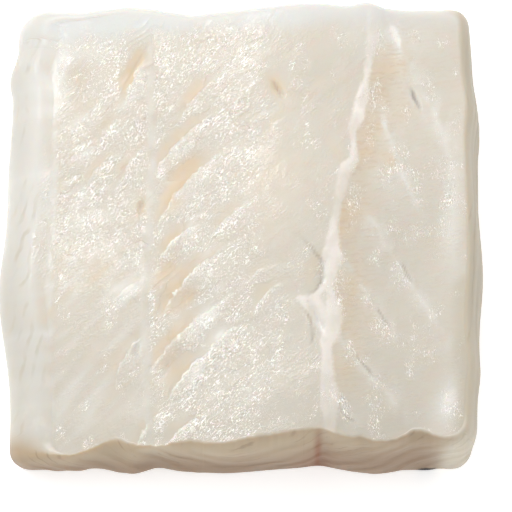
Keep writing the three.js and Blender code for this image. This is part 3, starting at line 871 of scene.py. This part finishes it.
class Graph:
    """Short words for building a material's nodes. Values may be names of numbers that the points carry."""

    def __init__(self, name):
        self.material = bpy.data.materials.new(name)
        self.material.use_nodes = True
        self.tree = self.material.node_tree
        self.tree.nodes.clear()

    def node(self, kind, inputs=(), **settings):
        made = self.tree.nodes.new("ShaderNode" + kind)
        for key, value in settings.items():
            setattr(made, key, value)
        for key, value in dict(inputs).items():
            self.set(made.inputs[key], value)
        return made

    def set(self, socket, value):
        """Feed a socket with a constant, another socket, or one of the mesh's point numbers by its name."""
        if isinstance(value, str):
            value = self.node("Attribute", attribute_name=value).outputs["Fac"]
        if isinstance(value, bpy.types.NodeSocket):
            self.tree.links.new(value, socket)
        else:
            socket.default_value = value

    def math(self, operation, *values):
        made = self.node("Math", operation=operation)
        for socket, value in zip(made.inputs, values):
            self.set(socket, value)
        return made.outputs[0]

    def product(self, first, *others):
        total = first
        for value in others:
            total = self.math("MULTIPLY", total, value)
        return total

    def sum(self, *terms):
        """Sum of values, each given with its weight before it."""
        total = 0.0
        for weight, value in terms:
            total = self.node("Math", {0: value, 1: weight, 2: total}, operation="MULTIPLY_ADD").outputs[0]
        return total

    def ramp(self, value, low, high):
        """Soft step from 0 at low to 1 at high, which may be the lower one."""
        inputs = {"Value": value, "From Min": low, "From Max": high}
        return self.node("MapRange", inputs, interpolation_type="SMOOTHSTEP").outputs["Result"]

    def blend(self, share, first, second):
        made = self.node("Mix", data_type="RGBA")
        self.set(made.inputs[0], share)
        self.set(made.inputs[6], first)
        self.set(made.inputs[7], second)
        return made.outputs[2]

    def scaled(self, vector, scale):
        return self.node("VectorMath", {0: vector, 1: scale}, operation="MULTIPLY").outputs[0]

    def tinted(self, colour, tint, *amounts):
        """The colour with some of the tint, as much as the product of the amounts."""
        return self.blend(self.product(*amounts), colour, tint)

    def noise(self, vector, scale, detail=2.0, distortion=0.0):
        """Noise that changes faster with a larger scale, which is one number or one for each direction."""
        if isinstance(scale, tuple):
            vector = self.scaled(vector, scale)
            scale = 1.0
        inputs = {"Vector": vector, "Scale": scale, "Detail": detail, "Distortion": distortion}
        return self.node("TexNoise", inputs).outputs["Fac"]

    def surface(self, inputs):
        """The finished material, with these inputs of its shader."""
        shader = self.node("BsdfPrincipled", inputs)
        output = self.node("OutputMaterial")
        self.tree.links.new(shader.outputs["BSDF"], output.inputs["Surface"])
        return self.material


def linear(red, green, blue):
    """Linear colour of a displayed colour from 0 to 255."""
    values = [channel / 255 for channel in (red, green, blue)]
    return (*[v / 12.92 if v <= 0.04045 else ((v + 0.055) / 1.055) ** 2.4 for v in values], 1.0)


CREAM = linear(203, 197, 185)
WHITE = linear(219, 217, 211)
# White of the painted highlights: wet sheen, flake edges and the near top edge
PAINTED_HIGHLIGHT_WHITE = linear(237, 235, 229)
TISSUE_WHITE = linear(231, 225, 219)
# Painted glints: their bright lines and their rims of painted shade
PAINTED_GLINT_WHITE = linear(250, 248, 243)
PAINTED_GLINT_SHADE = linear(172, 162, 148)
ROSY = linear(207, 192, 181)
# Painted shade towards the near end
NEAR_SHADE = linear(182, 177, 165)
FAR_RIM = linear(208, 210, 208)
RIGHT_RIM = linear(186, 179, 162)
# Painted shade in the folds
CREASE_SHADE = linear(120, 98, 74)
OLIVE = linear(198, 193, 171)
TAN = linear(211, 191, 164)
OCHRE = linear(202, 185, 148)
# Partly warm tint, partly painted shade in the ripple troughs
RIPPLE_SHADE = linear(186, 162, 131)
LEFT_PALE = linear(205, 204, 199)
LEFT_EDGE = linear(180, 179, 171)
LEFT_STREAK = linear(186, 181, 167)
CUT_TOP = linear(179, 164, 141)
# Cut wall at its base, darkened by painted shade
CUT_SHADED_BASE = linear(142, 121, 101)
CUT_LINE = linear(92, 72, 56)
SIDE_TOP = linear(192, 184, 167)
# Thick side low on its wall, darkened by painted shade
SIDE_SHADED_BASE = linear(174, 165, 148)
ROSE = linear(130, 74, 48)
SKIN = linear(36, 32, 30)
FLOOR = (0.93, 0.93, 0.93, 1)

# Soft clouds of another tint: how far their pattern is shifted, and their strength
CLOUDS = [(0.0, 0.45, ROSY), (40.0, 0.2, OLIVE)]
# Tints that a point number lays over the flesh, and their strength: painted shade towards the near end, the
# far rim, the right rim, and painted shade in the folds
TINTS = [
    ("near", 0.4, NEAR_SHADE),
    ("far_rim", 0.85, FAR_RIM),
    ("right_rim", 0.8, RIGHT_RIM),
    ("crease_shade", 0.45, CREASE_SHADE),
]

# Fine patterns of the colours, painted shade of the ripples and painted glints among them: how close
# together, how bent or wide, and how strong
RIPPLE_WAVES = 5.4
RIPPLE_BEND = 14.0
RIPPLE_SHARE = 0.32
PAINTED_GLINT_HALF_WIDTH = 0.047
PAINTED_GLINT_SHARE = 0.8
STREAK_WAVES = 12.6
LINES_PER_LAYER = 2.4
LINE_SHARE = 0.24
SIDE_LINE_SHARE = 0.12

# Fine relief that the material adds, in millimetres
LIP_RELIEF = 0.07
SCALE_RELIEF = 0.05
RIPPLE_RELIEF = 0.15
COTTON_RELIEF = 0.045
FIBRE_RELIEF = 0.035
FINE_RELIEF = 0.11


def flesh_colour(g, fibre):
    """Cream flesh with warm hollows, pale flakes and tissue, and cut walls, with painted shade in the
    folds, towards the near end and towards the base of the walls, and painted highlights and glints.
    """
    broad = g.math("SUBTRACT", g.noise(g.scaled(fibre, (1.0, 0.6, 1.0)), 0.16, 3.0), 0.5)
    colour = g.blend(g.ramp(g.sum((1.0, "warm"), (0.7, broad)), 0.0, 1.0), CREAM, TAN)
    for shift, strength, tint in CLOUDS:
        shifted = g.node("VectorMath", {0: fibre, 1: (shift, shift, 0.0)}, operation="ADD").outputs[0]
        cloud = g.ramp(g.noise(shifted, (0.5, 0.28, 0.5)), 0.48, 0.68)
        colour = g.tinted(colour, tint, cloud, strength)
    colour = g.tinted(colour, WHITE, g.math("MINIMUM", "pale", 1.0), 0.8)
    # Painted highlight: the palest places get the white sheen of wet, glossy patches
    colour = g.tinted(colour, PAINTED_HIGHLIGHT_WHITE, g.ramp("pale", 0.9, 1.4), 0.7)
    colour = g.tinted(colour, OCHRE, g.ramp("dent", 0.5, 1.3))
    colour = ripple_colour(g, fibre, colour)
    colour = tissue_colour(g, colour)
    for name, strength, tint in TINTS:
        colour = g.tinted(colour, tint, name, strength)
    colour = flake_edge_highlight(g, fibre, colour)
    colour = painted_glint_colour(g, fibre, colour)
    colour = side_colour(g, fibre, colour)
    colour = cut_colour(g, fibre, colour)
    return g.tinted(colour, SKIN, g.ramp("scrap", 0.25, 0.5))


def ripple_colour(g, fibre, colour):
    """Darker, warmer lines in the troughs of fine ripples across the fibres of the narrow muscle, partly
    warm tint and partly painted shade, stronger where it is warm.
    """
    wave = g.node("SeparateXYZ", {"Vector": fibre}).outputs["X"]
    bent = g.sum((RIPPLE_WAVES, wave), (RIPPLE_BEND, g.noise(fibre, (0.4, 0.3, 0.5))))
    # Painted shade, with some warm tint, in the troughs of the ripples
    crease_shade = g.ramp(g.math("SINE", bent), -0.4, 1.0)
    broken = g.ramp(g.noise(fibre, 0.6, 1.0), 0.42, 0.58)
    shown = g.product("right", broken, g.sum((0.8, "warm"), (0.2, 1.0)))
    return g.tinted(colour, RIPPLE_SHADE, crease_shade, shown, RIPPLE_SHARE)


def tissue_colour(g, colour):
    """Milky tissue of the seam, more see-through in some places."""
    place = g.scaled(g.node("NewGeometry").outputs["Position"], (1 / MM, 1 / MM, 1 / MM))
    ragged = g.sum((0.9, g.noise(place, 1.6)), (-0.45, 1.0))
    tissue = g.ramp(g.sum((1.0, "tissue"), (1.0, ragged)), -0.5, 0.5)
    milky = g.sum((0.4, g.ramp(g.noise(place, 0.3), 0.38, 0.6)), (0.6, 1.0))
    milky = g.math("MINIMUM", g.product(milky, "veil"), 1.0)
    return g.tinted(colour, TISSUE_WHITE, tissue, milky)


def flake_edge_highlight(g, fibre, colour):
    """Painted highlight along the crisp edges of the flakes, broken in places."""
    behind = rough_edge(g, fibre)
    line = g.product(g.ramp(behind, -0.12, 0.05), g.ramp(behind, 0.5, 0.15))
    highlight_share = g.sum((0.75, g.ramp(g.noise(fibre, 0.45), 0.42, 0.58)), (0.25, 1.0))
    return g.tinted(colour, PAINTED_HIGHLIGHT_WHITE, line, highlight_share, "flake")


def upper_share(g):
    """One on the top, falling to nothing a little way down each wall."""
    cut = g.math("MAXIMUM", "near_cut", "right_cut")
    slope = g.math("MAXIMUM", "left_side", "far_cut")
    return g.product(g.ramp(cut, 0.1, 0.0), g.ramp(slope, 0.35, 0.0))


def from_painted_glint(g, fibre):
    """Distance from the thin lines of the painted glints: curls on the flakes, fibres that run
    upright on the narrow muscle, and fibres along the flesh elsewhere."""
    curl = g.noise(fibre, (3.0, 2.0, 3.0), 1.0, 1.2)
    strand = g.noise(fibre, (3.0, 0.6, 3.0), 1.0, 0.4)
    upright = g.noise(fibre, (1.0, 3.0, 3.0), 1.0, 0.6)
    strand = g.sum((1.0, strand), (1.0, g.product(g.math("SUBTRACT", upright, strand), "right")))
    curled = g.product(g.math("SUBTRACT", curl, strand), g.ramp("body", 0.1, 0.6))
    return g.math("ABSOLUTE", g.math("SUBTRACT", g.math("ADD", strand, curled), 0.5))


def painted_glint_colour(g, fibre, colour):
    """Painted glints: thin bright lines of painted highlight with a rim of painted shade, wider and denser
    where the surface is ragged.
    """
    patch = g.ramp(g.noise(fibre, (0.42, 0.22, 0.4)), 0.44, 0.58)
    painted_glints = g.product("painted_glints", upper_share(g))
    strength = g.product(painted_glints, g.sum((0.45, patch), (0.42, 1.0)))
    # Painted sheen: the patches of glints are whitened a little
    colour = g.tinted(colour, WHITE, painted_glints, patch, 0.05)
    outside = g.sum((-PAINTED_GLINT_HALF_WIDTH, strength), (1.0, from_painted_glint(g, fibre)))
    shade = g.product(g.ramp(outside, 0.0, 0.02), g.ramp(outside, 0.1, 0.04))
    # Painted shade: a darker rim beside each glint line
    colour = g.tinted(colour, PAINTED_GLINT_SHADE, shade, strength, 0.6)
    # Painted highlight: the bright glint lines
    line = g.product(g.ramp(outside, 0.003, -0.014), g.ramp(strength, 0.0, 0.25))
    return g.tinted(colour, PAINTED_GLINT_WHITE, line, PAINTED_GLINT_SHARE)


def side_colour(g, fibre, colour):
    """The thin side: pale and faintly streaked, with painted shade towards the near end."""
    bent = g.sum((1.0, "layer"), (0.9, g.noise(fibre, 0.12, 3.0)))
    streak = g.ramp(g.math("SINE", g.product(bent, STREAK_WAVES)), 0.2, 1.0)
    broken = g.ramp(g.noise(fibre, 0.15), 0.45, 0.65)
    side = g.blend(g.ramp("left_side", 0.45, 1.0), LEFT_PALE, LEFT_EDGE)
    side = g.tinted(side, LEFT_STREAK, streak, broken, "streaks")
    # Painted shade towards the near end
    side = g.tinted(side, NEAR_SHADE, "near", 0.35)
    return g.tinted(colour, side, g.ramp("left_side", 0.0, 0.3), 0.7)


def cut_colour(g, fibre, colour):
    """Cut walls: tan with thin broken lines between the layers, darkened towards the base and the thick end
    by painted shade, and with a painted highlight along the near top edge.
    """
    fine = g.noise(fibre, (0.35, 0.35, 0.7))
    saw = g.math("FRACT", g.sum((LINES_PER_LAYER, "layer"), (0.5, fine)))
    broken = g.ramp(g.noise(fibre, 0.14, 3.0), 0.43, 0.66)
    lines = g.product(g.ramp(saw, 0.7, 0.86), g.ramp(saw, 1.0, 0.93), broken)
    # Painted shade towards the base and the thick end
    cut = g.blend(g.ramp("down", -0.05, 0.95), CUT_TOP, CUT_SHADED_BASE)
    cut = g.tinted(cut, CUT_LINE, lines, LINE_SHARE)
    cut = g.tinted(cut, ROSE, "seam_patch", 0.7)
    # Painted highlight: a broken bright line along the near top edge
    lip = g.product(g.ramp("near_cut", 0.0, 0.03), g.ramp("near_cut", 0.12, 0.05))
    colour = g.tinted(colour, PAINTED_HIGHLIGHT_WHITE, lip, broken, 0.4)
    colour = g.tinted(colour, cut, g.ramp("near_cut", 0.03, 0.3))
    # Painted shade: the thick side darkens further down its wall
    side_cut = g.blend(g.ramp("right_cut", 0.1, 0.8), SIDE_TOP, SIDE_SHADED_BASE)
    side_cut = g.tinted(side_cut, CUT_LINE, lines, SIDE_LINE_SHARE)
    colour = g.tinted(colour, side_cut, g.ramp("right_cut", 0.0, 0.2))
    return g.tinted(colour, side_cut, g.ramp("far_cut", 0.4, 1.0), 0.6)


def ridged(g, value):
    """Thin creases where a noise passes its middle."""
    away = g.math("ABSOLUTE", g.math("SUBTRACT", g.product(value, 2.0), 1.0))
    return g.math("SUBTRACT", 1.0, away)


def rough_edge(g, fibre):
    """Distance behind the nearest flake edge, made ragged, in millimetres."""
    ragged = g.product(g.math("SUBTRACT", g.noise(fibre, 1.1), 0.5), 0.8)
    return g.math("ADD", "edge", ragged)


def glint_relief(g, fibre):
    """Cottony flakes and narrow muscle, fibres, and fine bumps where the surface glints."""
    soft = g.ramp(g.math("MAXIMUM", "body", "right"), 0.05, 0.5)
    cotton = g.product(ridged(g, g.noise(fibre, 1.2, 1.0, 1.2)), soft)
    fibres = ridged(g, g.noise(fibre, (1.6, 0.4, 1.5), 1.0, 0.5))
    fine = g.noise(fibre, (2.4, 1.3, 2.0), 0.0, 0.6)
    sparkle = g.sum((COTTON_RELIEF, cotton), (FIBRE_RELIEF, fibres), (FINE_RELIEF, fine))
    return g.product(sparkle, g.product("glint", upper_share(g)))


def flesh_relief(g, fibre):
    """Surface direction with the relief that is too fine for the mesh."""
    lip = g.product(g.ramp(rough_edge(g, fibre), -0.2, 0.15), "flake")
    scales = g.product(g.ramp(g.math("FRACT", "scales"), 0.0, 0.1), "small")
    ripples = g.noise(fibre, (1.2, 0.22, 1.0), 1.0, 0.8)
    shown = g.product("right", g.sum((0.7, "warm"), (0.3, 1.0)), "bare")
    height = g.sum((LIP_RELIEF, lip), (SCALE_RELIEF, scales), (RIPPLE_RELIEF, g.product(ripples, shown)))
    height = g.math("ADD", height, glint_relief(g, fibre))
    return g.node("Bump", {"Height": height, "Distance": MM}).outputs["Normal"]


def flesh_material():
    """Translucent flesh, wet on the top and the thin side, and duller where it is cut."""
    g = Graph("raw_flesh")
    fibre = g.node("Attribute", attribute_name="fibre").outputs["Vector"]
    normal = flesh_relief(g, fibre)
    cut = g.math("MAXIMUM", "near_cut", "right_cut")
    dull = g.ramp(cut, 0.0, 0.5)
    left = g.ramp("left_side", 0.0, 0.2)
    wet = g.sum((0.18, "glint"), (-0.08, left), (0.1, 1.0))
    return g.surface({
        "Base Color": flesh_colour(g, fibre),
        "Roughness": 0.45,
        "IOR": 1.4,
        "Subsurface Weight": 0.8,
        "Subsurface Radius": (1.0, 0.62, 0.38),
        "Subsurface Scale": 0.004,
        "Specular IOR Level": g.sum((-0.45, dull), (0.5, 1.0)),
        "Coat Weight": g.product(g.sum((-0.95, dull), (1.0, 1.0)), wet),
        "Coat Roughness": 0.1,
        "Coat IOR": 1.4,
        "Normal": normal,
        "Coat Normal": normal,
    })


def floor_material():
    """Pale and matt, with a faint glow that keeps it white round the block."""
    g = Graph("pale_floor")
    return g.surface({
        "Base Color": FLOOR,
        "Roughness": 0.9,
        "Emission Color": FLOOR,
        "Emission Strength": 0.5,
    })


def make_floor():
    """Ground that isn't part of the object."""
    bpy.ops.mesh.primitive_plane_add(size=6)
    floor = bpy.context.object
    floor.name = "floor"
    floor.data.materials.append(floor_material())


def aimed(obj, place, target):
    """Put a camera or light in its place, looking at the target."""
    obj.location = place
    obj.rotation_euler = (Vector(target) - Vector(place)).to_track_quat("-Z", "Y").to_euler()


def make_camera():
    """Looks down on the block from the near side, from far off, as the photograph does."""
    elevation = math.radians(77)
    distance = 1.0
    frame_width = 0.1058
    target = Vector((0.0033, -0.0052, 0.017))
    data = bpy.data.cameras.new("camera")
    data.sensor_width = 36
    data.lens = data.sensor_width * distance / frame_width
    camera = linked("camera", data)
    back = Vector((0, -math.cos(elevation), math.sin(elevation)))
    aimed(camera, target + distance * back, target)
    bpy.context.scene.camera = camera


def direction(azimuth, elevation):
    """Unit vector towards a light, azimuth counter-clockwise from +X."""
    turn = math.radians(azimuth)
    rise = math.radians(elevation)
    return Vector((math.cos(turn) * math.cos(rise), math.sin(turn) * math.cos(rise), math.sin(rise)))


def make_light(name, kind, azimuth, elevation, distance, target, **settings):
    """Light of a kind, aimed at the target from that direction and distance."""
    data = bpy.data.lights.new(name, kind)
    for key, value in settings.items():
        setattr(data, key, value)
    aimed(linked(name, data), distance * direction(azimuth, elevation), target)


def make_sky(horizon, zenith):
    """White light from all round, stronger from above."""
    world = bpy.data.worlds.new("studio")
    bpy.context.scene.world = world
    world.use_nodes = True
    nodes = world.node_tree.nodes
    links = world.node_tree.links
    background = nodes["Background"]
    background.inputs["Color"].default_value = (1, 1, 1, 1)
    place = nodes.new("ShaderNodeTexCoord")
    split = nodes.new("ShaderNodeSeparateXYZ")
    strength = nodes.new("ShaderNodeMapRange")
    strength.interpolation_type = "SMOOTHSTEP"
    limits = {"From Min": 0.0, "From Max": 0.9, "To Min": horizon, "To Max": zenith}
    for name, value in limits.items():
        strength.inputs[name].default_value = value
    links.new(place.outputs["Generated"], split.inputs[0])
    links.new(split.outputs["Z"], strength.inputs["Value"])
    links.new(strength.outputs["Result"], background.inputs["Strength"])


def make_surroundings():
    """White floor and sky, with a soft light and a sparkling sun from the far left."""
    make_floor()
    make_sky(horizon=0.35, zenith=0.95)
    make_light("key", "AREA", 135, 58, 0.7, (0, 0, 0.02), size=0.6, energy=1.65)
    make_light("spark", "SUN", 138, 55, 1.0, (0, 0, 0), angle=math.radians(9), energy=0.8)
    bpy.context.scene.view_settings.view_transform = "Standard"


make_camera()
fillet = make_fillet("fillet_flesh")
fillet.data.materials.append(flesh_material())
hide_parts("fillet")
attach(fillet, "root")
make_surroundings()
